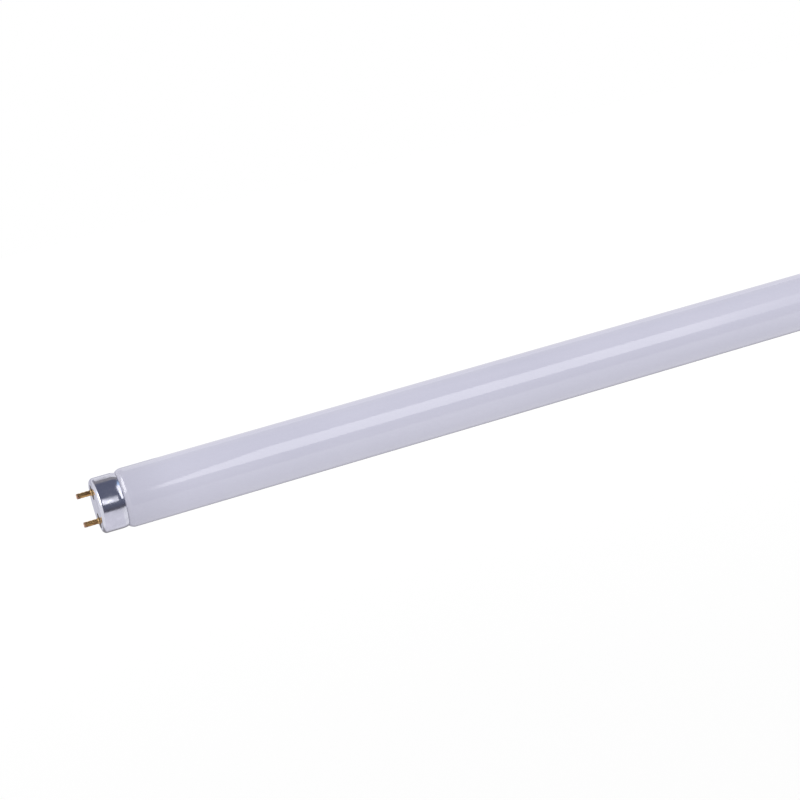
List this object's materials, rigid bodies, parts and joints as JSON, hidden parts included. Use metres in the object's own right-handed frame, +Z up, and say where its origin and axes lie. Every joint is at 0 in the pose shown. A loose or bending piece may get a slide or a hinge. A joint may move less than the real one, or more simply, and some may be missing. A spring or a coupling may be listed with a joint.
{
  "type": "fluorescent tube",
  "caption": "Straight white-coated glass discharge tube with necked ends, drawn aluminium end caps and hollow brass contact pins, for a linear light fitting.",
  "frame": {"origin": "middle of the tube, on its axis, halfway between the tips of the pins", "axes": "+X along the tube, +Z up, with the pins of each cap one above the other in the XZ plane"},
  "size_m": [0.9082, 0.026, 0.026],
  "materials": {
    "coated_glass": "clear gloss over a matte white coat",
    "cap_aluminium": "drawn and polished",
    "pin_brass": "bright, crimped",
    "plate_phenolic": "pressed, dull",
    "wire_copper": "copper-coated wire",
    "cap_cement": "baked cement"
  },
  "bodies": {
    "root": {"glass_tube": "coated_glass", "end_cap_left": "cap_aluminium", "end_cap_right": "cap_aluminium", "cap_cement_left": "cap_cement", "cap_cement_right": "cap_cement", "pin_plate_left": "plate_phenolic", "pin_plate_right": "plate_phenolic", "contact_pin_left_upper": "pin_brass", "contact_pin_left_lower": "pin_brass", "contact_pin_right_upper": "pin_brass", "contact_pin_right_lower": "pin_brass", "lead_wire_left_upper": "wire_copper", "lead_wire_left_lower": "wire_copper", "lead_wire_right_upper": "wire_copper", "lead_wire_right_lower": "wire_copper"}
  },
  "joints": []
}
